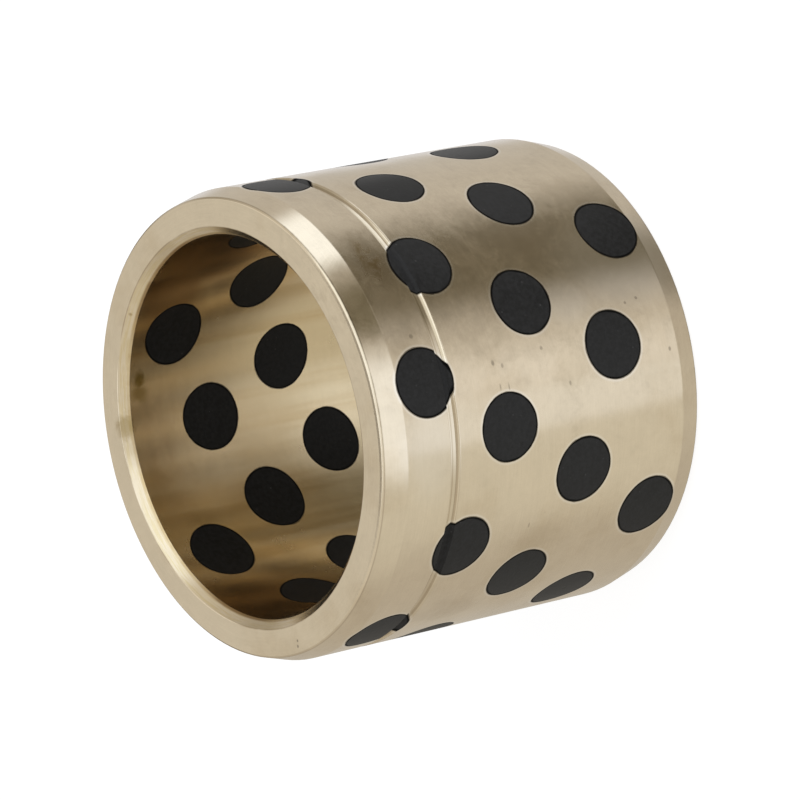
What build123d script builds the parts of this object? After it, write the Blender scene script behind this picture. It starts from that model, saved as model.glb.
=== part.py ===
from build123d import *
import os

# Graphite plugged bushing: a turned bronze sleeve with graphite plugs through its wall.
# It stands on its rear end, with the axis of the bore on +Z and the origin at the centre of
# the rear end face. The front end, which the groove is near, is on top.
# Sizes are in millimetres and angles in degrees.

os.makedirs("parts", exist_ok=True)

# Sleeve
bore_diameter = 65.0
wall_thickness = 7.5
overall_length = 68.0
bore_chamfer = 1.5
corner_break = 0.5

# Lead-in chamfers on the outside of both ends: length along the axis, and depth into the wall
lead_in_length = 4.5
lead_in_depth = 1.25

# Groove round the outside, starting at this distance behind the front end face
groove_start = 13.4
groove_width = 2.0
groove_floor_width = 1.2
groove_depth = 0.7

# Plugs: rings of radial plugs, each ring turned on from the one in front of it. The first and
# the last ring lie as far from their end faces, and the rings between are evenly spaced.
plug_diameter = 11.6
plugs_per_ring = 5
ring_count = 7
ring_twist = 28.8
end_ring_distance = 10.0

# Sizes that follow from the ones above
bore_radius = bore_diameter / 2
outside_radius = bore_radius + wall_thickness
face_radius = outside_radius - lead_in_depth
ring_pitch = (overall_length - 2 * end_ring_distance) / (ring_count - 1)
plug_spacing = 360 / plugs_per_ring


# One half of the lengthwise section, drawn as radius and height
def sleeve_section():
    bore_mouth_radius = bore_radius + bore_chamfer
    rear_corner = (face_radius, 0)
    front_corner = (face_radius, overall_length)
    outline = Polyline(
        (bore_mouth_radius, 0),
        rear_corner,
        (outside_radius, lead_in_length),
        *groove_corners(),
        (outside_radius, overall_length - lead_in_length),
        front_corner,
        (bore_mouth_radius, overall_length),
        (bore_radius, overall_length - bore_chamfer),
        (bore_radius, bore_chamfer),
        close=True,
    )
    section = make_face(outline)
    for corner in (rear_corner, front_corner):
        section = chamfer(section.vertices().sort_by_distance(corner)[0], corner_break)
    return section


# The groove's four corners from its rear lip to its front lip
def groove_corners():
    front_lip = overall_length - groove_start
    rear_lip = front_lip - groove_width
    side_run = (groove_width - groove_floor_width) / 2
    floor_radius = outside_radius - groove_depth
    return [
        (outside_radius, rear_lip),
        (floor_radius, rear_lip + side_run),
        (floor_radius, front_lip - side_run),
        (outside_radius, front_lip),
    ]


# The rod along +X that the plugs of one ring are cut from, which is also their hole
def plug_rod(ring):
    height = overall_length - end_ring_distance - ring * ring_pitch
    length = outside_radius + plug_diameter
    rod = Cylinder(plug_diameter / 2, length, align=(Align.CENTER, Align.CENTER, Align.MIN))
    return Pos(0, 0, height) * Rot(0, 90, 0) * rod


# The sleeve as turned, before drilling: the seam of its round faces lies on -X, clear of the rods
turned_sleeve = revolve(Plane.XZ * sleeve_section(), Axis.Z)
turned_sleeve = Rot(0, 0, 180) * turned_sleeve

# The plugs are finished flush with the sleeve outside, in the groove and in the bore
holes = []
for ring in range(ring_count):
    rod = plug_rod(ring)
    plug = rod & turned_sleeve
    for number in range(plugs_per_ring):
        turn = Rot(0, 0, ring * ring_twist + number * plug_spacing)
        holes.append(turn * rod)
        export_step(turn * plug, f"parts/graphite_plug_{ring + 1}_{number + 1}.step")

bronze_sleeve = turned_sleeve - holes
export_step(bronze_sleeve, "parts/bronze_sleeve.step")
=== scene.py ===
import math

import bpy
from mathutils import Matrix, Vector


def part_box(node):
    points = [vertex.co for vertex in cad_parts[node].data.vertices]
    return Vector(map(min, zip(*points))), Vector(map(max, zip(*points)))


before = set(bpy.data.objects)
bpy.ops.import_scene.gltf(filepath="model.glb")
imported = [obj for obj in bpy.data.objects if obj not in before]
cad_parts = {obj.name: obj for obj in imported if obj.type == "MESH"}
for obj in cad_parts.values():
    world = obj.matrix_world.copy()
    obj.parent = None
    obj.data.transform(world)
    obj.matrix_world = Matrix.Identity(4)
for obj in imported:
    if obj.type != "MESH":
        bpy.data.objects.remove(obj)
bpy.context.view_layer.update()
print("frame loaded:", len(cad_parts), "nodes")

mm = 0.001

# Sizes of the bushing, read from its sleeve and from the first plug of its end rings
plugNames = [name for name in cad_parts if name.startswith("graphite_plug_")]
ringCount = max(int(name.split("_")[2]) for name in plugNames)
plugsPerRing = max(int(name.split("_")[3]) for name in plugNames)
frontPlugLow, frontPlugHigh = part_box("graphite_plug_1_1")
rearPlugLow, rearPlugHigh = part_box(f"graphite_plug_{ringCount}_1")
sleeveLow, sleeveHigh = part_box("bronze_sleeve")
bushing = {
    "length": sleeveHigh.z,
    "outsideRadius": sleeveHigh.x,
    "plugRadius": (frontPlugHigh.z - frontPlugLow.z) / 2,
    "frontRing": (frontPlugHigh.z + frontPlugLow.z) / 2,
    "rearRing": (rearPlugHigh.z + rearPlugLow.z) / 2,
    "ringTwist": 28.8,  # degrees from one ring to the next
    "ringCount": ringCount,
    "plugSpacing": 360 / plugsPerRing,
}
# the first plug lies on +X, and the sides of its hollow inner end reach furthest in
bushing["boreRadius"] = math.hypot(frontPlugLow.x, bushing["plugRadius"])
bushing["ringPitch"] = (bushing["frontRing"] - bushing["rearRing"]) / (ringCount - 1)


# Small helpers for node trees
def feed(tree, socket, value):
    if isinstance(value, bpy.types.NodeSocket):
        tree.links.new(value, socket)
    else:
        socket.default_value = value


def addNode(tree, kind, inputs=None, **settings):
    node = tree.nodes.new(kind)
    for name, value in settings.items():
        setattr(node, name, value)
    for name, value in (inputs or {}).items():
        feed(tree, node.inputs[name], value)
    return node


def calc(tree, operation, *values):
    node = addNode(tree, "ShaderNodeMath", operation=operation)
    for socket, value in zip(node.inputs, values):
        feed(tree, socket, value)
    return node.outputs["Value"]


# One operation on a row of values, from left to right
def chain(tree, operation, total, *others):
    for value in others:
        total = calc(tree, operation, total, value)
    return total


def plus(tree, *values):
    return chain(tree, "ADD", *values)


def minus(tree, first, second):
    return calc(tree, "SUBTRACT", first, second)


def times(tree, *values):
    return chain(tree, "MULTIPLY", *values)


def most(tree, *values):
    return chain(tree, "MAXIMUM", *values)


def calcVector(tree, operation, *values, scale=None):
    node = addNode(tree, "ShaderNodeVectorMath", operation=operation)
    for socket, value in zip(node.inputs, values):
        feed(tree, socket, value)
    if scale is not None:
        feed(tree, node.inputs["Scale"], scale)
    return node.outputs["Value" if operation == "LENGTH" else "Vector"]


def splitVector(tree, vector):
    return addNode(tree, "ShaderNodeSeparateXYZ", {"Vector": vector}).outputs


def joinVector(tree, **parts):
    return addNode(tree, "ShaderNodeCombineXYZ", parts).outputs["Vector"]


# The base where the value is 0, and the gain on top of it where the value is 1
def ramp(tree, value, base, gain):
    return plus(tree, times(tree, value, gain), base)


# A noise that swings about 0 in place of 0.5
def centred(tree, noise):
    return minus(tree, noise, 0.5)


# A smooth step from 0 to 1 while the value goes from start to end
def fade(tree, value, start, end):
    inputs = {"Value": value, "From Min": start, "From Max": end}
    node = addNode(tree, "ShaderNodeMapRange", inputs, interpolation_type="SMOOTHSTEP")
    return node.outputs["Result"]


# A line at the middle: 1 out to the core on each side of it, and 0 from the width outwards
def drawLine(tree, value, middle, width, core):
    return fade(tree, calc(tree, "ABSOLUTE", minus(tree, value, middle)), width, core)


def blendColours(tree, mask, first, second, kind="MIX"):
    node = addNode(tree, "ShaderNodeMix", data_type="RGBA", blend_type=kind)
    feed(tree, node.inputs["Factor"], mask)
    feed(tree, node.inputs["A"], first)
    feed(tree, node.inputs["B"], second)
    return node.outputs["Result"]


# Lays colours over the first one, each where its mask is 1
def coverColour(tree, colour, *layers):
    for mask, cover in layers:
        colour = blendColours(tree, mask, colour, cover)
    return colour


# The colour, darker where the tone is less than 1 and lighter where it is more
def toneColour(tree, colour, tone):
    parts = {"Red": tone, "Green": tone, "Blue": tone}
    grey = addNode(tree, "ShaderNodeCombineColor", parts).outputs["Color"]
    return blendColours(tree, 1, colour, grey, "MULTIPLY")


def newGroup(name, inputs, outputs):
    group = bpy.data.node_groups.new(name, "ShaderNodeTree")
    for label, kind in inputs.items():
        group.interface.new_socket(label, in_out="INPUT", socket_type="NodeSocket" + kind)
    for label, kind in outputs.items():
        group.interface.new_socket(label, in_out="OUTPUT", socket_type="NodeSocket" + kind)
    given = group.nodes.new("NodeGroupInput").outputs
    out = group.nodes.new("NodeGroupOutput").inputs
    return group, given, out


def useGroup(tree, group, inputs, label=""):
    return addNode(tree, "ShaderNodeGroup", inputs, node_tree=group, label=label).outputs


def newMaterial(name):
    material = bpy.data.materials.new(name)
    material.use_nodes = True
    tree = material.node_tree
    return material, tree, tree.nodes["Principled BSDF"].inputs


# Puts every node in a column by how far it is from the output, so the tree can be read
def arrange(tree, columnWidth=220, rowHeight=190):
    column = {node.name: 0 for node in tree.nodes}
    for _ in range(len(tree.nodes)):
        for wire in tree.links:
            before, after = wire.from_node.name, wire.to_node.name
            column[before] = max(column[before], column[after] + 1)
    rows = {}
    for node in tree.nodes:
        row = rows.get(column[node.name], 0)
        node.location = (-columnWidth * column[node.name], -rowHeight * row)
        rows[column[node.name]] = row + 1


# The studio: a white background, and round the bushing the cards and flags that its metal mirrors.
# Angles are in degrees, azimuth from +X towards +Y and elevation up from the horizon.
studio = {
    "background": (1, 1, 1, 1),
    "softLight": (0.72, 0.72, 0.73, 1),  # lights the matt graphite from all round
    "room": (0.57, 0.535, 0.475, 1),  # between the cards
    "cards": [
        {"name": "side room", "azimuth": 95, "elevation": -25, "width": 150, "height": 90,
         "edge": 30, "colour": (0.63, 0.61, 0.58, 1)},
        {"name": "upper room", "azimuth": 0, "elevation": 62, "width": 360, "height": 60,
         "edge": 14, "colour": (0.76, 0.73, 0.66, 1)},
        {"name": "ceiling light", "azimuth": 0, "elevation": 88, "width": 360, "height": 42,
         "edge": 8, "colour": (1.32, 1.40, 1.50, 1)},
        {"name": "low fill", "azimuth": -45, "elevation": -28, "width": 74, "height": 75,
         "edge": 44, "colour": (0.755, 0.735, 0.665, 1)},
        {"name": "side card", "azimuth": -10, "elevation": -6, "width": 52, "height": 40,
         "edge": 22, "colour": (1.18, 1.24, 1.33, 1)},
        {"name": "low side card", "azimuth": -3, "elevation": -39, "width": 26, "height": 38,
         "edge": 25, "colour": (0.915, 0.91, 0.90, 1)},
        {"name": "low side edge", "azimuth": -21.5, "elevation": -39, "width": 20, "height": 38,
         "edge": 6, "colour": (0.93, 0.94, 0.94, 1)},
        {"name": "low dark flag", "azimuth": 58, "elevation": -45, "width": 54, "height": 58,
         "edge": 30, "colour": (0.19, 0.17, 0.13, 1)},
        {"name": "high dark flag", "azimuth": 39, "elevation": -4, "width": 26, "height": 26,
         "edge": 12, "colour": (0.22, 0.20, 0.15, 1)},
        {"name": "overhead box", "azimuth": 81, "elevation": -9, "width": 34, "height": 27,
         "edge": 14, "colour": (1.40, 1.50, 1.64, 1)},
        {"name": "face card", "azimuth": 180, "elevation": 36, "width": 80, "height": 26,
         "edge": 12, "colour": (0.72, 0.70, 0.65, 1)},
        {"name": "top box", "azimuth": 48, "elevation": 49, "width": 86, "height": 33,
         "edge": 15, "colour": (1.33, 1.41, 1.47, 1)},
        {"name": "top flag", "azimuth": 122, "elevation": 9, "width": 42, "height": 23,
         "edge": 14, "colour": (0.42, 0.39, 0.33, 1)},
        {"name": "back flag", "azimuth": 178, "elevation": -10, "width": 46, "height": 28,
         "edge": 15, "colour": (0.21, 0.17, 0.11, 1)},
        {"name": "back box", "azimuth": 145, "elevation": 48, "width": 30, "height": 24,
         "edge": 14, "colour": (1.22, 1.20, 1.16, 1)},
        {"name": "backdrop", "azimuth": 165, "elevation": -40, "width": 24, "height": 34,
         "edge": 16, "colour": (0.80, 0.80, 0.82, 1)},
    ],
}


# One card in front of what lies behind it. Half of its soft edge lies inside its size.
def makeCardGroup():
    group, given, out = newGroup(
        "studioCard",
        {"Azimuth": "Float", "Elevation": "Float", "Card Azimuth": "Float",
         "Card Elevation": "Float", "Width": "Float", "Height": "Float", "Edge": "Float",
         "Behind": "Color", "Card": "Color"},
        {"Colour": "Color"})
    turned = minus(group, given["Azimuth"], given["Card Azimuth"])
    across = calc(group, "ABSOLUTE", calc(group, "WRAP", turned, 180, -180))
    raised = calc(group, "ABSOLUTE", minus(group, given["Elevation"], given["Card Elevation"]))
    masks = []
    for distance, size in ((across, given["Width"]), (raised, given["Height"])):
        past = minus(group, distance, times(group, size, 0.5))
        masks.append(fade(group, calc(group, "DIVIDE", past, given["Edge"]), 0.5, -0.5))
    colour = blendColours(group, times(group, *masks), given["Behind"], given["Card"])
    feed(group, out["Colour"], colour)
    arrange(group)
    return group


# Masks for what the camera sees, and for what it sees in a mirror or through glass
def findSeen(tree):
    path = addNode(tree, "ShaderNodeLightPath").outputs
    mirrored = most(tree, path["Is Glossy Ray"], path["Is Transmission Ray"])
    return path["Is Camera Ray"], mirrored


def makeStudio(values):
    world = bpy.data.worlds.new("studio")
    bpy.context.scene.world = world
    world.use_nodes = True
    world.cycles.sampling_method = "NONE"
    tree = world.node_tree
    direction = splitVector(tree, addNode(tree, "ShaderNodeTexCoord").outputs["Generated"])
    azimuth = calc(tree, "DEGREES", calc(tree, "ARCTAN2", direction["Y"], direction["X"]))
    elevation = calc(tree, "DEGREES", calc(tree, "ARCSINE", direction["Z"]))
    cardGroup = makeCardGroup()
    colour = values["room"]
    for card in values["cards"]:
        colour = useGroup(tree, cardGroup, {
            "Azimuth": azimuth, "Elevation": elevation,
            "Card Azimuth": card["azimuth"], "Card Elevation": card["elevation"],
            "Width": card["width"], "Height": card["height"], "Edge": card["edge"],
            "Behind": colour, "Card": card["colour"]}, card["name"])["Colour"]
    inView, mirrored = findSeen(tree)
    colour = coverColour(
        tree, values["softLight"], (mirrored, colour), (inView, values["background"]))
    feed(tree, tree.nodes["Background"].inputs["Color"], colour)
    arrange(tree)


makeStudio(studio)
print("studio made:", len(studio["cards"]), "cards and flags")


# The floor is white to the camera and keeps a faint shadow of the bushing
paperFloor = {
    "side": 6,
    "colour": (0.8, 0.8, 0.8, 1),  # what it throws back on the bushing
    "ownWhite": (0.86, 0.86, 0.86, 1),  # the share that no shadow reaches
    "shadowWhite": (0.24, 0.24, 0.24, 1),  # the share that light and shadow fall on
    "roughness": 0.9,
}


def makeFloor(values):
    bpy.ops.object.select_all(action="DESELECT")
    bpy.ops.mesh.primitive_plane_add(size=values["side"])
    floor = bpy.context.object
    floor.name = "studioFloor"
    floor.visible_glossy = False  # the metal mirrors the cards below the horizon
    paper, tree, shader = newMaterial("floorPaper")
    seen = most(tree, *findSeen(tree))
    colour = blendColours(tree, seen, values["colour"], values["shadowWhite"])
    feed(tree, shader["Base Color"], colour)
    glow = blendColours(tree, seen, (0, 0, 0, 1), values["ownWhite"])
    feed(tree, shader["Emission Color"], glow)
    shader["Emission Strength"].default_value = 1
    shader["Roughness"].default_value = values["roughness"]
    shader["Specular IOR Level"].default_value = 0
    arrange(tree)
    floor.data.materials.append(paper)


makeFloor(paperFloor)

softLamp = {
    "place": (0.35, 0.55, 0.75),
    "size": 0.6,
    "power": 3.0,
}


def makeLamp(values):
    data = bpy.data.lights.new("softLamp", "AREA")
    data.size = values["size"]
    data.energy = values["power"]
    lamp = bpy.data.objects.new("softLamp", data)
    lamp.location = values["place"]
    target = Vector((0, 0, bushing["length"] / 2))
    lamp.rotation_euler = (target - lamp.location).to_track_quat("-Z", "Y").to_euler()
    lamp.visible_glossy = False
    bpy.context.scene.collection.objects.link(lamp)


makeLamp(softLamp)
print("floor and lamp made")


# The camera looks at the front end from beside it, rolled so that the axis lies across the view
viewCamera = {
    "aim": (0.00018, -0.00077, 0.03373),
    "azimuth": -1.744,
    "elevation": 36.998,
    "roll": -101.636,
    "distance": 0.99553,
    "lens": 263.85,
    "sensorWidth": 36,
    "farEnd": 20,
}


def makeCamera(values):
    data = bpy.data.cameras.new("viewCamera")
    data.lens = values["lens"]
    data.sensor_width = values["sensorWidth"]
    data.clip_end = values["farEnd"]
    azimuth, elevation, roll = (
        math.radians(values[name]) for name in ("azimuth", "elevation", "roll"))
    level = Vector((math.cos(azimuth), math.sin(azimuth), 0))
    back = math.cos(elevation) * level + math.sin(elevation) * Vector((0, 0, 1))
    sideways = Vector((0, 0, 1)).cross(back).normalized()
    right = math.cos(roll) * sideways + math.sin(roll) * back.cross(sideways)
    turn = Matrix((right, back.cross(right), back)).transposed()
    place = Vector(values["aim"]) + values["distance"] * back
    camera = bpy.data.objects.new("viewCamera", data)
    camera.matrix_world = Matrix.Translation(place) @ turn.to_4x4()
    bpy.context.scene.collection.objects.link(camera)
    bpy.context.scene.camera = camera


makeCamera(viewCamera)
bpy.context.scene.view_settings.view_transform = "Standard"
print("camera placed")


# Fine marks that run round the axis, as a lathe or a grinder leaves them, on walls and on end faces
def makeTurnedMarksGroup():
    group, given, out = newGroup(
        "turnedMarks",
        {"Vector": "Vector", "Lines per Metre": "Float", "Turns": "Float", "Detail": "Float"},
        {"Tone": "Float"})
    parts = splitVector(group, given["Vector"])
    flat = joinVector(group, X=parts["X"], Y=parts["Y"])
    radius = calcVector(group, "LENGTH", flat)
    outward = calcVector(group, "NORMALIZE", flat)
    around = splitVector(group, calcVector(group, "SCALE", outward, scale=given["Turns"]))
    height = times(group, parts["Z"], given["Lines per Metre"])
    noise = addNode(group, "ShaderNodeTexNoise", {
        "Vector": joinVector(group, X=around["X"], Y=around["Y"], Z=height),
        "W": times(group, radius, given["Lines per Metre"]),
        "Scale": 1, "Detail": given["Detail"]}, noise_dimensions="4D")
    feed(group, out["Tone"], noise.outputs["Fac"])
    arrange(group)
    return group


# How far a point is from the rim of the nearest plug, less than 0 inside it, and a number for
# each plug
def makePlugPatternGroup(sizes):
    group, given, out = newGroup(
        "plugPattern", {"Vector": "Vector"}, {"Past Rim": "Float", "Plug Tone": "Float"})
    parts = splitVector(group, given["Vector"])
    radius = calcVector(group, "LENGTH", joinVector(group, X=parts["X"], Y=parts["Y"]))
    angle = calc(group, "DEGREES", calc(group, "ARCTAN2", parts["Y"], parts["X"]))
    behindFront = minus(group, sizes["frontRing"], parts["Z"])
    ringPlace = calc(group, "DIVIDE", behindFront, sizes["ringPitch"])
    ahead = calc(group, "FLOOR", ringPlace)
    half = sizes["plugSpacing"] / 2
    rings, distances = [], []
    for step in (0, 1):  # the ring in front of the point and the ring behind it
        ring = most(group, plus(group, ahead, step), 0)
        ring = calc(group, "MINIMUM", ring, sizes["ringCount"] - 1)
        turned = minus(group, angle, times(group, ring, sizes["ringTwist"]))
        offset = calc(group, "RADIANS", calc(group, "WRAP", turned, half, -half))
        side = times(group, radius, calc(group, "SINE", offset))
        rise = times(group, minus(group, ringPlace, ring), sizes["ringPitch"])
        square = plus(group, times(group, side, side), times(group, rise, rise))
        rings.append(ring)
        distances.append(calc(group, "SQRT", square))
    nearest = calc(group, "MINIMUM", *distances)
    feed(group, out["Past Rim"], minus(group, nearest, sizes["plugRadius"]))
    isBehind = calc(group, "GREATER_THAN", *distances)
    ring = plus(group, rings[0], times(group, isBehind, minus(group, rings[1], rings[0])))
    turned = minus(group, angle, times(group, ring, sizes["ringTwist"]))
    plug = calc(group, "ROUND", calc(group, "DIVIDE", turned, sizes["plugSpacing"]))
    plug = calc(group, "WRAP", plug, 360 / sizes["plugSpacing"], 0)
    tag = joinVector(group, X=ring, Y=plug)
    chance = addNode(group, "ShaderNodeTexWhiteNoise", {"Vector": tag}).outputs["Value"]
    feed(group, out["Plug Tone"], chance)
    arrange(group)
    return group


# Small marks scattered over a surface. Core is the share of a mark's size in which it is full, and
# smallest is the size of the smallest mark as a share of the largest.
def makeSpecksGroup(core=0.4, smallest=0.2):
    group, given, out = newGroup(
        "specks", {"Vector": "Vector", "Scale": "Float", "Share": "Float", "Size": "Float"},
        {"Mask": "Float"})
    cells = addNode(
        group, "ShaderNodeTexVoronoi", {"Vector": given["Vector"], "Scale": given["Scale"]}).outputs
    chance = addNode(group, "ShaderNodeSeparateColor", {"Color": cells["Color"]}).outputs
    chosen = calc(group, "LESS_THAN", chance["Red"], given["Share"])
    size = times(group, given["Size"], ramp(group, chance["Green"], smallest, 1 - smallest))
    near = fade(group, calc(group, "DIVIDE", cells["Distance"], size), 1, core)
    feed(group, out["Mask"], times(group, near, chosen))
    arrange(group)
    return group


# A mark at one place, with its size across, across and along the axis. Core is the share of that
# size in which it is full.
def makeSpotGroup(core=0.3):
    group, given, out = newGroup(
        "spot", {"Vector": "Vector", "Middle": "Vector", "Size": "Vector", "Ragged": "Float"},
        {"Mask": "Float"})
    away = calcVector(group, "SUBTRACT", given["Vector"], given["Middle"])
    away = calcVector(group, "DIVIDE", away, given["Size"])
    distance = plus(group, calcVector(group, "LENGTH", away), given["Ragged"])
    feed(group, out["Mask"], fade(group, distance, 1, core))
    arrange(group)
    return group


# The lengthwise section of the sleeve, in millimetres, as far as its finish needs it
section = {
    "leadInLength": 4.5,
    "leadInDepth": 1.25,
    "cornerBreak": 0.5,
    "boreChamfer": 1.5,
    "grooveStart": 13.4,  # behind the front face
    "grooveWidth": 2.0,
    "grooveFloor": 1.2,
    "shoulderRound": 0.3,  # how far the tool marks soften each side of an edge
    "cornerRound": 0.14,
    "cornerShine": 0.52,  # the share of the corner break that has its own direction
    "boreRound": 0.15,
    "bevelTurn": 49,  # degrees, how far the bore's chamfer turns away from the bore
    "lipRound": 0.13,
    "floorRound": 0.17,
    "wallTilt": 46,  # degrees, as far as the groove's walls turn before they run into its floor
    "floorTilt": 13,
    # masks: where each ends and where it is full, outwards from the bore or from its mouth
    "boreEdge": (0.5, 0.2),
    "bevelEdge": (0, -0.2),
    # lines: the dark line round the bore's mouth, a painted dark reflection at the outer corner,
    # and painted shade in the groove: how far from its middle each ends, and how far it is full
    "mouthLine": (0.16, 0.04),
    "cornerLine": (0.25, 0.12),
    "wallLine": (0.2, 0.05),
    "floorLine": (0.25, 0.08),
    "wallLinePlace": 0.7,  # as a share of the groove's rear wall, from its lip
    "floorLinePlace": 0.4,  # as a share of the groove's floor, from its front wall
    "grooveShadeLevel": 0.3,  # painted shade all over the groove
    "shadeDepth": 0.3,  # how deep in the groove it starts
}


# Adds up the turns of the edges that the place along the section has passed
def addTurns(tree, place, total, turns):
    for middle, ease, turn in turns:
        passed = fade(tree, place, middle - ease, middle + ease)
        total = plus(tree, total, times(tree, passed, turn))
    return total


# The surface direction of the turned section, worked out from where a point lies, with its edges
# eased. The direction is an angle in the plane through the axis, 0 outwards and 90 forwards.
def makeSectionGroup(sizes, cuts):
    group, given, out = newGroup(
        "turnedSection", {"Vector": "Vector"},
        {"Normal": "Vector", "Bore": "Float", "Bevel": "Float", "Mouth": "Float",
         "Corner": "Float", "Groove Shade": "Float"})
    parts = splitVector(group, given["Vector"])
    flat = joinVector(group, X=parts["X"], Y=parts["Y"])
    outward = calcVector(group, "NORMALIZE", flat)
    radius = calc(group, "DIVIDE", calcVector(group, "LENGTH", flat), mm)
    height = calc(group, "DIVIDE", parts["Z"], mm)
    length = sizes["length"] / mm
    half = length / 2
    outsideRadius = sizes["outsideRadius"] / mm
    boreRadius = sizes["boreRadius"] / mm
    mouthRadius = boreRadius + cuts["boreChamfer"]
    isOutside = calc(group, "GREATER_THAN", radius, mouthRadius + 2 * cuts["boreRound"])
    fromMiddle = minus(group, height, half)
    upwards = calc(group, "SIGN", fromMiddle)
    fromMiddle = calc(group, "ABSOLUTE", fromMiddle)

    # outside: the shoulder of the lead-in, then the corner break, then the end face
    nearEnd = calc(group, "GREATER_THAN", fromMiddle, half - 2 * cuts["leadInLength"])
    below = times(group, minus(group, outsideRadius, radius), nearEnd)
    place = plus(group, fromMiddle, below)
    leadIn = math.degrees(math.atan2(cuts["leadInDepth"], cuts["leadInLength"]))
    slant = math.hypot(cuts["leadInLength"], cuts["leadInDepth"])
    breakDepth = cuts["cornerBreak"] * cuts["leadInDepth"] / slant
    breakLength = cuts["cornerBreak"] * cuts["leadInLength"] / slant
    broken = math.degrees(math.atan2(cuts["cornerBreak"] + breakDepth, breakLength))
    corner = half + cuts["leadInDepth"]
    breakStart = corner - breakLength - breakDepth
    breakEnd = breakStart + cuts["cornerShine"] * (corner + cuts["cornerBreak"] - breakStart)
    easeCorner = cuts["cornerRound"]
    outside = times(group, upwards, addTurns(group, place, 0, [
        (half - cuts["leadInLength"], cuts["shoulderRound"], leadIn),
        (breakStart, easeCorner, broken - leadIn),
        (breakEnd, easeCorner, 90 - broken)]))
    # a painted dark reflection line where the lead-in meets the corner break
    cornerLine = drawLine(group, place, breakStart - easeCorner / 4, *cuts["cornerLine"])

    # the groove, from its rear lip over its floor to its front lip
    side = (cuts["grooveWidth"] - cuts["grooveFloor"]) / 2
    wall, floor = cuts["wallTilt"], cuts["floorTilt"]
    frontLip = length - cuts["grooveStart"]
    rearLip = frontLip - cuts["grooveWidth"]
    outside = addTurns(group, height, outside, [
        (rearLip, cuts["lipRound"], wall),
        (rearLip + side, cuts["floorRound"], floor - wall),
        (frontLip - side, cuts["floorRound"], -wall - floor),
        (frontLip, cuts["lipRound"], wall)])

    # inside: the bore, then its chamfer, then the end face
    pastBore = minus(group, radius, boreRadius)
    place = plus(group, fromMiddle, pastBore)
    inside = times(group, upwards, addTurns(group, place, 180, [
        (half - cuts["boreChamfer"], cuts["boreRound"], -cuts["bevelTurn"]),
        (half + cuts["boreChamfer"], cuts["boreRound"], cuts["bevelTurn"] - 90)]))

    isInside = minus(group, 1, isOutside)
    angle = plus(group, times(group, isOutside, outside), times(group, isInside, inside))
    angle = calc(group, "RADIANS", angle)
    level = calcVector(group, "SCALE", outward, scale=calc(group, "COSINE", angle))
    upright = joinVector(group, Z=calc(group, "SINE", angle))
    feed(group, out["Normal"], calcVector(group, "ADD", level, upright))

    # the bore, its chamfers, the line round its mouths, the outer corners, and painted shade in the
    # groove
    feed(group, out["Bore"], fade(group, pastBore, *cuts["boreEdge"]))
    pastMouth = minus(group, radius, mouthRadius)
    feed(group, out["Bevel"], fade(group, pastMouth, *cuts["bevelEdge"]))
    feed(group, out["Mouth"], drawLine(group, radius, mouthRadius, *cuts["mouthLine"]))
    nearEnd = times(group, nearEnd, isOutside)
    feed(group, out["Corner"], times(group, cornerLine, nearEnd))
    # painted shade: a dark line on the groove's rear wall and one on its floor, and a little all
    # over the groove
    onWall = rearLip + cuts["wallLinePlace"] * side
    onFloor = frontLip - side - cuts["floorLinePlace"] * cuts["grooveFloor"]
    grooveShading = most(
        group, drawLine(group, height, onWall, *cuts["wallLine"]),
        drawLine(group, height, onFloor, *cuts["floorLine"]), cuts["grooveShadeLevel"])
    isDeep = calc(group, "LESS_THAN", radius, outsideRadius - cuts["shadeDepth"])
    isGroove = times(group, isDeep, isOutside, minus(group, 1, nearEnd))
    feed(group, out["Groove Shade"], times(group, grooveShading, isGroove))
    arrange(group)
    return group


turnedMarks = makeTurnedMarksGroup()
plugPattern = makePlugPatternGroup(bushing)
specks = makeSpecksGroup()
spot = makeSpotGroup()
turnedSection = makeSectionGroup(bushing, section)


def addLines(tree, place, lines):
    return useGroup(tree, turnedMarks, {"Vector": place, **lines})["Tone"]


def addNoise(tree, place, sizes):
    return addNode(tree, "ShaderNodeTexNoise", {"Vector": place, **sizes}).outputs["Fac"]


def addSpecks(tree, place, sizes):
    return useGroup(tree, specks, {"Vector": place, **sizes})["Mask"]


# The strongest of several marks at a place. A mark has its azimuth in degrees, and in millimetres
# its height above the rear face, its size and, where it isn't on the wall, its radius.
def addMarks(tree, place, marks, wall, ragged=0):
    total = 0
    for mark in marks:
        turned = math.radians(mark["azimuth"])
        radius = mark.get("radius", wall / mm)
        middle = Vector((radius * math.cos(turned), radius * math.sin(turned), mark["height"]))
        size = Vector((mark["across"], mark["across"], mark["along"]))
        mask = useGroup(tree, spot, {
            "Vector": place, "Middle": middle * mm, "Size": size * mm, "Ragged": ragged})["Mask"]
        total = most(tree, total, times(tree, mask, mark["strength"]))
    return total


# Makes a rim ragged: the noise shifts it by up to half of the given millimetres, in or out
def roughenRim(tree, pastRim, noise, ragged):
    return plus(tree, pastRim, times(tree, centred(tree, noise), ragged * mm))


# A band along a rim. Its start, where it is 0, and its end, where it is 1, are in millimetres.
def addBand(tree, pastRim, start, end):
    return fade(tree, pastRim, start * mm, end * mm)


def addRelief(tree, shader, height, normal, values):
    bump = addNode(tree, "ShaderNodeBump", {
        "Height": height, "Strength": values["reliefStrength"],
        "Distance": values["reliefDepth"] * mm, "Normal": normal})
    feed(tree, shader["Normal"], bump.outputs["Normal"])


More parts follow.
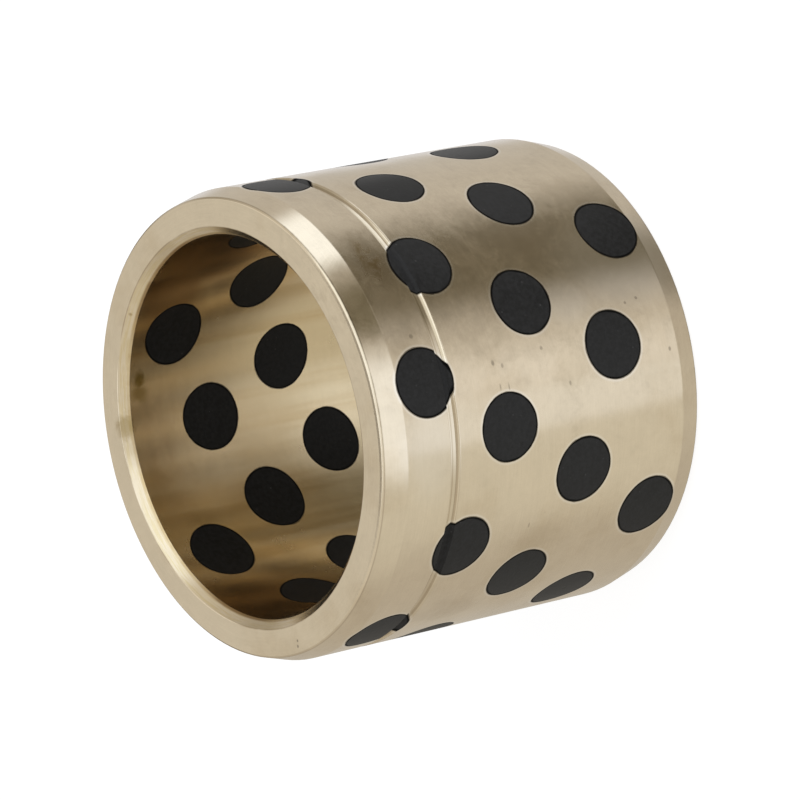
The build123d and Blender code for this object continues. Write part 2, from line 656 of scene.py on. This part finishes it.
bronzeFinish = {
    "colour": (0.75, 0.645, 0.49, 1),
    "warmColour": (0.60, 0.485, 0.33, 1),  # where hands and coolant have dulled it
    "bevelColour": (0.64, 0.52, 0.29, 1),
    # the bronze in the bore, painted darker and warmer as painted shade of the bore
    "boreShadedColour": (0.67, 0.545, 0.35, 1),
    # painted light in the bore
    "borePaintedLightColour": (0.84, 0.72, 0.51, 1),
    "boreStreakColour": (0.52, 0.37, 0.175, 1),
    "boreShadeColour": (0.27, 0.165, 0.07, 1),
    "paleColour": (0.86, 0.79, 0.68, 1),  # the painted highlight ring round each plug, and haze
    # tarnish for stains and round the bore's mouth, and painted shade in the groove
    "tarnishAndShadeColour": (0.24, 0.165, 0.07, 1),
    # drips, and the painted darker reflection on the lead-in
    "dripAndDarkReflectionColour": (0.31, 0.22, 0.07, 1),
    # the painted dark reflection along the outer corner
    "cornerReflectionColour": (0.20, 0.16, 0.10, 1),
    "darkColour": (0.12, 0.10, 0.075, 1),  # specks, nicks and the line round each hole
    # tool marks, clouds and specks
    "fineLines": {"Lines per Metre": 3600, "Turns": 7, "Detail": 2},
    "broadLines": {"Lines per Metre": 420, "Turns": 3, "Detail": 3},
    "scuffs": {"Lines per Metre": 900, "Turns": 30, "Detail": 4},
    "boreStreaks": {"Lines per Metre": 12, "Turns": 9, "Detail": 3},
    "clouds": {"Scale": 62, "Detail": 5, "Roughness": 0.62},
    "mottle": {"Scale": 190, "Detail": 6, "Roughness": 0.7, "Distortion": 0.5},
    "dots": {"Scale": 230, "Share": 0.22, "Size": 0.15},
    # how much they lighten and darken the bronze
    "plainTone": 0.92,
    "fineTone": 0.10,
    "broadTone": 0.05,
    "mottleTone": 0.5,
    "scuffTone": 0.22,
    # the noise at which an effect starts, and at which it is full
    "smudgeRange": (0.47, 0.72),
    "dotRange": (0.42, 0.62),
    "blotchRange": (0.62, 0.88),
    "streakRange": (0.42, 0.66),
    "smearRange": (0.42, 0.62),
    "mouthRange": (0.4, 0.6),
    "blotchScuffs": 0.5,  # share of the scuffs in the blotches
    # how strongly an effect covers the bronze
    "smudged": 0.42,
    "streaked": 0.6,
    "shaded": 0.9,
    "rimHighlighted": 0.6,
    "hazed": 0.85,
    "grooveShaded": 0.4,  # painted shade in the groove
    "mouthGrimy": 0.45,
    "dotted": 0.4,
    "outlined": 0.85,  # round each hole
    "dottedAllOver": 0.25,  # against 1 more where it is handled
    # the same as a base, and what is added where it is handled, blotchy or marked by the tool
    "uneven": (0.32, 0.7),
    # the painted dark reflection along the outer corner, more where it is handled
    "cornerDarkReflection": (0.2, 0.65),
    "stained": (0.4, 0.55),
    "smeared": (0.08, 0.5),
    # roughness, and what each effect adds to it
    "roughness": 0.17,
    "smudgeRoughness": 0.05,
    "broadRoughness": 0.08,
    "unevenRoughness": 0.35,
    "boreRoughness": 0.06,
    "stainRoughness": 0.15,
    "anisotropy": 0.75,
    "anisotropyTurn": 0.25,  # in turns, so the gloss spreads across the tool marks
    "reliefStrength": 0.2,
    "reliefDepth": 0.015,  # millimetres
    "pitDepth": 1.5,  # of specks and nicks, against 1 for the fine lines
    # the rims of the holes, in millimetres past them
    "holeLine": (0.17, 0.05),
    # where the painted highlight ring round each hole starts and where it is full
    "rimHighlightRing": (0.65, 0.25),
    "raggedRim": 0.5,
    "raggedMark": 1.6,  # how far the mottle shifts the edge of a mark, in shares of its size
    "patches": [
        {"azimuth": 33, "height": 58.8, "across": 8, "along": 4.4, "strength": 1.0},
        {"azimuth": 30, "height": 28, "across": 8, "along": 12, "strength": 0.35},
        {"azimuth": -46, "height": 34, "across": 4, "along": 6, "strength": 0.15},
        {"azimuth": 42, "height": 12, "across": 6, "along": 10, "strength": 0.25},
        {"azimuth": -68, "height": 46, "across": 5, "along": 9, "strength": 0.2},
    ],
    "dripsAndDarkReflection": [
        # on the lead-in: a painted darker reflection with an olive tint
        {"azimuth": 25, "radius": 39.4, "height": 65.5, "across": 10, "along": 3.6,
         "strength": 0.16},
        {"azimuth": -3, "height": 28, "across": 5, "along": 6, "strength": 0.1},
    ],
    "boreDrips": [
        {"azimuth": 157.5, "height": 64.5, "across": 2.2, "along": 1.6, "strength": 1.0},
        {"azimuth": 161.6, "height": 64.5, "across": 2.2, "along": 2.2, "strength": 0.75},
        {"azimuth": 170.5, "radius": 33.3, "height": 67.3, "across": 2.8, "along": 1.6,
         "strength": 0.6},
        {"azimuth": 135.6, "radius": 33.6, "height": 67.2, "across": 0.6, "along": 0.8,
         "strength": 0.9},
    ],
    # painted shade in the bore
    "boreShades": [
        {"azimuth": 106, "height": 56, "across": 19, "along": 32, "strength": 1.0},
        {"azimuth": 177, "height": 64, "across": 10, "along": 9, "strength": 0.28},
        {"azimuth": 129, "height": 61, "across": 12, "along": 12, "strength": 1.0},
        {"azimuth": -112, "height": 60, "across": 16, "along": 26, "strength": 1.0},
        {"azimuth": -138, "height": 49, "across": 5, "along": 9, "strength": 0.22},
    ],
    # painted light: places in the bore painted lighter
    "borePaintedLight": [
        {"azimuth": -168, "height": 54, "across": 9, "along": 12, "strength": 0.7},
        {"azimuth": -170, "height": 22, "across": 15, "along": 15, "strength": 0.85},
    ],
    "handled": [
        {"azimuth": 22, "height": 36, "across": 34, "along": 50, "strength": 1.0},
    ],
    "hazes": [
        {"azimuth": 21, "height": 11, "across": 12, "along": 18, "strength": 0.85},
        {"azimuth": 13, "height": 25, "across": 6, "along": 8, "strength": 0.6},
        {"azimuth": -17, "height": 58.5, "across": 11, "along": 8, "strength": 0.45},
    ],
    "nicks": [
        {"azimuth": 1.2, "height": 43.6, "across": 0.6, "along": 0.4, "strength": 0.5},
        {"azimuth": 0.2, "height": 41.8, "across": 0.5, "along": 0.35, "strength": 0.4},
        {"azimuth": -4.5, "height": 43, "across": 0.9, "along": 0.25, "strength": 0.4},
        {"azimuth": -5, "height": 41.2, "across": 0.9, "along": 0.25, "strength": 0.4},
        {"azimuth": 2.5, "height": 33, "across": 0.5, "along": 0.4, "strength": 0.4},
        {"azimuth": -7, "height": 28.4, "across": 0.5, "along": 0.3, "strength": 0.4},
        {"azimuth": -3.8, "height": 6.2, "across": 0.5, "along": 0.4, "strength": 0.5},
        {"azimuth": -41, "height": 36, "across": 0.7, "along": 0.3, "strength": 0.3},
        {"azimuth": -84.4, "radius": 36.7, "height": 68, "across": 0.35, "along": 0.4,
         "strength": 0.6},
        {"azimuth": -84.9, "radius": 37.6, "height": 68, "across": 0.35, "along": 0.4,
         "strength": 0.5},
    ],
}


def makeBronze(values):
    bronze, tree, shader = newMaterial("groundBronze")
    place = addNode(tree, "ShaderNodeTexCoord").outputs["Object"]
    turned = useGroup(tree, turnedSection, {"Vector": place})
    isBore = turned["Bore"]
    isOutside = minus(tree, 1, isBore)
    outer, inner = bushing["outsideRadius"], bushing["boreRadius"]
    fine, broad, scuffs, streaks = (
        addLines(tree, place, values[name])
        for name in ("fineLines", "broadLines", "scuffs", "boreStreaks"))
    cloud = addNoise(tree, place, values["clouds"])
    mottle = addNoise(tree, place, values["mottle"])

    # what hands and coolant have left: smudges, uneven gloss, haze, stains and drips, with a
    # painted darker reflection on the lead-in among the drips
    smudge = fade(tree, cloud, *values["smudgeRange"])
    ragged = times(tree, centred(tree, mottle), values["raggedMark"])
    handled = addMarks(tree, place, values["handled"], outer, ragged)
    uneven = plus(
        tree, times(tree, centred(tree, mottle), values["mottleTone"]),
        times(tree, centred(tree, scuffs), values["scuffTone"]))
    uneven = times(tree, uneven, ramp(tree, handled, *values["uneven"]))
    haze = addMarks(tree, place, values["hazes"], outer)
    blotches = plus(tree, mottle, times(tree, scuffs, values["blotchScuffs"]))
    blotches = fade(tree, blotches, *values["blotchRange"])
    stains = addMarks(tree, place, values["patches"], outer, ragged)
    stains = times(tree, stains, ramp(tree, blotches, *values["stained"]))
    dripsAndDarkReflection = most(
        tree, addMarks(tree, place, values["dripsAndDarkReflection"], outer, ragged),
        addMarks(tree, place, values["boreDrips"], inner, ragged))

    # small marks, the dark line round each hole, and a painted highlight ring round it
    dots = times(
        tree, addSpecks(tree, place, values["dots"]), fade(tree, cloud, *values["dotRange"]),
        isOutside, plus(tree, handled, values["dottedAllOver"]))
    nicks = addMarks(tree, place, values["nicks"], outer, ragged)
    pattern = useGroup(tree, plugPattern, {"Vector": place})
    pastRim = roughenRim(tree, pattern["Past Rim"], mottle, values["raggedRim"])
    holeLine = addBand(tree, pastRim, *values["holeLine"])
    # a painted highlight ring round each hole, outside only
    rimHighlighted = times(tree, addBand(tree, pastRim, *values["rimHighlightRing"]), isOutside)

    # the bore: painted darker and warmer than the outside as painted shade, with more painted shade
    # at its top and bottom and painted light in places, drawn out into streaks
    drawnOut = centred(tree, streaks)
    shades = addMarks(tree, place, values["boreShades"], inner, drawnOut)
    boreLit = addMarks(tree, place, values["borePaintedLight"], inner, drawnOut)
    streaked = fade(tree, streaks, *values["streakRange"])
    boreShadedColour = coverColour(
        tree, values["boreShadedColour"],
        (times(tree, streaked, values["streaked"]), values["boreStreakColour"]),
        (times(tree, shades, values["shaded"]), values["boreShadeColour"]),
        (boreLit, values["borePaintedLightColour"]))

    smeared = ramp(tree, fade(tree, fine, *values["smearRange"]), *values["smeared"])
    colour = coverColour(
        tree, values["colour"],
        (times(tree, smudge, values["smudged"]), values["warmColour"]),
        (times(tree, smeared, turned["Bevel"]), values["bevelColour"]),
        (isBore, boreShadedColour))
    colour = toneColour(tree, colour, plus(
        tree, times(tree, fine, values["fineTone"]), times(tree, broad, values["broadTone"]),
        uneven, values["plainTone"]))
    # paler: the painted highlight ring round each plug, and haze
    pale = most(tree, times(tree, rimHighlighted, values["rimHighlighted"]), times(tree, haze, values["hazed"]))
    mouth = times(tree, turned["Mouth"], fade(tree, cloud, *values["mouthRange"]))
    # painted dark reflection along the outer corner
    corner = times(tree, turned["Corner"], ramp(tree, handled, *values["cornerDarkReflection"]))
    colour = coverColour(
        tree, colour,
        (pale, values["paleColour"]),
        (stains, values["tarnishAndShadeColour"]),
        (dripsAndDarkReflection, values["dripAndDarkReflectionColour"]),
        # painted shade in the groove
        (times(tree, turned["Groove Shade"], values["grooveShaded"]), values["tarnishAndShadeColour"]),
        (times(tree, mouth, values["mouthGrimy"]), values["tarnishAndShadeColour"]),
        (corner, values["cornerReflectionColour"]),
        (times(tree, dots, values["dotted"]), values["darkColour"]),
        (nicks, values["darkColour"]),
        (times(tree, holeLine, values["outlined"]), values["darkColour"]))
    feed(tree, shader["Base Color"], colour)

    feed(tree, shader["Roughness"], plus(
        tree, values["roughness"], times(tree, smudge, values["smudgeRoughness"]),
        times(tree, centred(tree, broad), values["broadRoughness"]),
        times(tree, uneven, values["unevenRoughness"]),
        times(tree, isBore, values["boreRoughness"]),
        times(tree, stains, values["stainRoughness"])))
    relief = minus(tree, fine, times(tree, most(tree, dots, nicks), values["pitDepth"]))
    addRelief(tree, shader, relief, turned["Normal"], values)
    shader["Metallic"].default_value = 1
    shader["Anisotropic"].default_value = values["anisotropy"]
    shader["Anisotropic Rotation"].default_value = values["anisotropyTurn"]
    arrange(tree)
    return bronze


graphiteFinish = {
    "colour": (0.0085, 0.0085, 0.0088, 1),
    "darkColour": (0.003, 0.0027, 0.0022, 1),  # rim and pits
    "paleColour": (0.12, 0.12, 0.12, 1),  # dust with painted sheen, and flakes
    "grain": {"Scale": 1300, "Detail": 4, "Roughness": 0.6},
    "patches": {"Scale": 330, "Detail": 3},
    "lines": {"Lines per Metre": 2200, "Turns": 7, "Detail": 2},
    "flakes": {"Scale": 900, "Share": 0.25, "Size": 0.22},
    "pits": {"Scale": 480, "Share": 0.14, "Size": 0.32},
    # how much they lighten and darken the graphite
    "grainRange": (0.32, 0.68),
    "grainTone": 0.95,
    "lineTone": 0.35,
    "patchTone": 0.6,
    "plugTone": 0.2,  # from plug to plug
    "flaked": 0.45,
    "pitted": 0.7,
    "roughness": 0.45,
    "grainRoughness": 0.2,
    "rimRoughness": 0.25,
    "gloss": 0.32,  # specular level
    "rimDulling": 0.75,
    # the graphite in the bore made darker, as painted shade
    "boreShading": 0.4,
    "reliefStrength": 0.5,
    "reliefDepth": 0.06,  # millimetres
    "rim": (-0.42, -0.12),  # millimetres past the rim
    "raggedRim": 0.5,
    "dustAndSheen": [
        # top plugs painted paler: dust, and painted sheen of the light above them
        {"azimuth": 74, "height": 40, "across": 11, "along": 50, "strength": 0.33},
        {"azimuth": 33, "height": 34, "across": 14, "along": 36, "strength": 0.07},
    ],
}


def makeGraphite(values):
    graphite, tree, shader = newMaterial("mattGraphite")
    place = addNode(tree, "ShaderNodeTexCoord").outputs["Object"]
    turned = useGroup(tree, turnedSection, {"Vector": place})
    grain = addNoise(tree, place, values["grain"])
    patch = addNoise(tree, place, values["patches"])
    lines = addLines(tree, place, values["lines"])
    flakes = addSpecks(tree, place, values["flakes"])
    pits = addSpecks(tree, place, values["pits"])
    dustAndSheenMask = addMarks(tree, place, values["dustAndSheen"], bushing["outsideRadius"])
    pattern = useGroup(tree, plugPattern, {"Vector": place})
    pastRim = roughenRim(tree, pattern["Past Rim"], patch, values["raggedRim"])
    rim = addBand(tree, pastRim, *values["rim"])

    grainy = fade(tree, grain, *values["grainRange"])
    colour = toneColour(tree, values["colour"], plus(
        tree, times(tree, grainy, values["grainTone"]), times(tree, lines, values["lineTone"]),
        times(tree, patch, values["patchTone"]),
        times(tree, pattern["Plug Tone"], values["plugTone"])))
    colour = coverColour(
        tree, colour,
        (times(tree, pits, values["pitted"]), values["darkColour"]),
        (times(tree, flakes, patch, values["flaked"]), values["paleColour"]),
        # dust and painted sheen
        (dustAndSheenMask, values["paleColour"]),
        (rim, values["darkColour"]))
    feed(tree, shader["Base Color"], colour)

    feed(tree, shader["Roughness"], plus(
        tree, values["roughness"], times(tree, grain, values["grainRoughness"]),
        times(tree, rim, values["rimRoughness"])))
    addRelief(tree, shader, minus(tree, grain, pits), turned["Normal"], values)
    dulledAndShaded = most(
        tree, times(tree, rim, values["rimDulling"]),
        times(tree, turned["Bore"], values["boreShading"]))
    feed(tree, shader["Metallic"], dulledAndShaded)  # takes the gloss and colour down at the dark rim, and in the bore as painted shade
    shader["Specular IOR Level"].default_value = values["gloss"]
    arrange(tree)
    return graphite


finishes = {"bronze": makeBronze(bronzeFinish), "graphite": makeGraphite(graphiteFinish)}
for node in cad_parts.values():
    for slot in node.material_slots:
        slot.material = finishes[slot.material.name]
print("finishes given to", len(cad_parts), "nodes")
